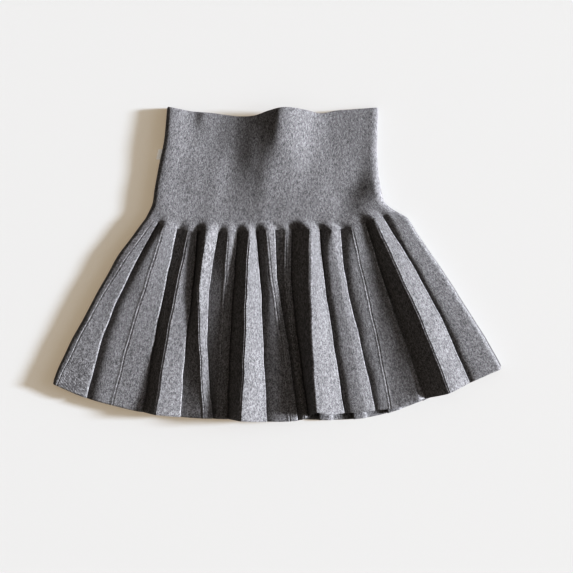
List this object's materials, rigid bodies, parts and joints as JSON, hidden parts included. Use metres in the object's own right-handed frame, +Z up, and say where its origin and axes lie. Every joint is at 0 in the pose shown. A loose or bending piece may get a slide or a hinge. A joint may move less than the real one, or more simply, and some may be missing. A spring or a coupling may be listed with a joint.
{
  "type": "pleated knit mini skirt",
  "caption": "Pull-on knit mini skirt with a smooth hip yoke and a flared skirt of lapped folds, laid flat with its front up.",
  "frame": {"origin": "middle of the laid skirt's bounding box, on the surface that it lies on", "axes": "+X across the skirt, to the right in the view from above; +Y from the hem to the waist; +Z up from the surface, out of the skirt's front"},
  "size_m": [0.577, 0.4036, 0.0332],
  "materials": {
    "yoke_front": "grey marl double knit",
    "yoke_back": "grey marl double knit",
    "pleats_front": "grey marl double knit",
    "pleats_back": "grey marl double knit",
    "side_label": "woven ribbon"
  },
  "bodies": {
    "root": {"yoke_front": "yoke_front", "yoke_back": "yoke_back", "pleats_front": "pleats_front", "pleats_back": "pleats_back", "side_label": "side_label"}
  },
  "joints": []
}
